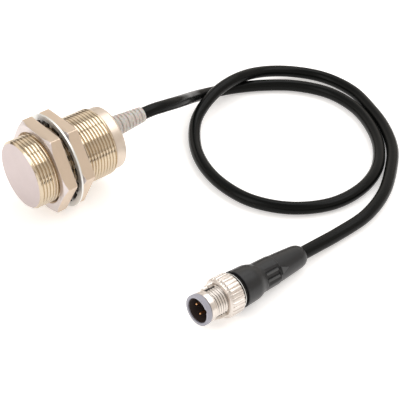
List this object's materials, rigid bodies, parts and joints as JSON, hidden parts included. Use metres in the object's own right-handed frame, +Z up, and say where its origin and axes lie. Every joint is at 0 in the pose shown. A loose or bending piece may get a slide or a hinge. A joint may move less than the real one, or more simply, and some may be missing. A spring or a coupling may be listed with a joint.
{
  "type": "proximity sensor",
  "caption": "Threaded cylindrical inductive sensor with clamping nuts, a toothed washer and a short black lead ending in a twist-lock round plug.",
  "frame": {"origin": "centre of the head's footprint, on the plane the sensor lies on: the head from its sensing face to the end of its strain relief, without the lead and the plug", "axes": "+X along the head from the sensing face to the lead, +Z up; the plug lies on the -Y side of the head"},
  "size_m": [0.1759, 0.1272, 0.0414],
  "materials": {
    "nickel_barrel": "bright nickel-plated, fine thread",
    "nickel_nut": "satin nickel-plated, machined flats",
    "washer_steel": "zinc-plated spring steel",
    "plug_nickel": "bright nickel-plated, fluted grip",
    "clear_plastic": "translucent moulded plastic",
    "cable_jacket": "smooth semi-gloss black jacket",
    "overmould_black": "fine matt black moulding",
    "insert_black": "matt black",
    "shell_grey": "matt bluish grey moulding",
    "seal_rubber": "soft black",
    "ferrite": "dull dark grey sintered",
    "bobbin_plastic": "natural moulded plastic",
    "coil_copper": "enamelled copper winding",
    "circuit_laminate": "green solder mask",
    "component_black": "moulded component body",
    "capacitor_tan": "moulded component body",
    "led_amber": "clear amber lens",
    "contact_gold": "gold-plated",
    "wire_brown": "insulated wire",
    "wire_blue": "insulated wire"
  },
  "bodies": {
    "sensor": {"sensor_housing": "nickel_barrel", "ferrite_pot_core": "ferrite", "coil_bobbin": "bobbin_plastic", "sensing_coil": "coil_copper", "core_holder": "bobbin_plastic", "circuit_board": "circuit_laminate", "oscillator_chip": "component_black", "output_transistor": "component_black", "filter_capacitor": "capacitor_tan", "protection_diode": "component_black", "indicator_led": "led_amber", "lead_wire_brown": "wire_brown", "lead_wire_blue": "wire_blue", "rear_cap": "clear_plastic", "cap_seal": "seal_rubber", "strain_relief": "clear_plastic", "cable_clamp": "washer_steel", "cable_tail": "cable_jacket", "cable_jacket": "cable_jacket", "plug_shell": "shell_grey", "contact_insert": "insert_black", "contact_pin_1": "contact_gold", "contact_pin_2": "contact_gold", "retaining_ring": "washer_steel", "connector_body": "overmould_black"},
    "front_nut": {"front_nut": "nickel_nut"},
    "lock_washer": {"toothed_lock_washer": "washer_steel"},
    "rear_nut": {"rear_nut": "nickel_nut"},
    "locking_ring": {"locking_ring": "plug_nickel"}
  },
  "joints": [
    {"name": "front_nut_travel", "type": "slide", "parent": "sensor", "child": "front_nut", "axis": [-1, 0, 0], "range_m": [0, 0.0084]},
    {"name": "washer_travel", "type": "slide", "parent": "sensor", "child": "lock_washer", "axis": [1, 0, 0], "range_m": [0, 0.0162]},
    {"name": "rear_nut_turn", "type": "hinge", "parent": "lock_washer", "child": "rear_nut", "pos_m": [-0.0114, 0, 0.0207], "axis": [1, 0, 0], "range_deg": [0, 3870]},
    {"name": "locking_ring_turn", "type": "hinge", "parent": "sensor", "child": "locking_ring", "pos_m": [-0.01098, -0.09834, 0.00896], "axis": [0.9947, 0.0417, -0.0938], "continuous": true}
  ],
  "couplings": [
    {"joint": "washer_travel", "follows": "rear_nut_turn", "m_per_rad": 0.00023873}
  ]
}
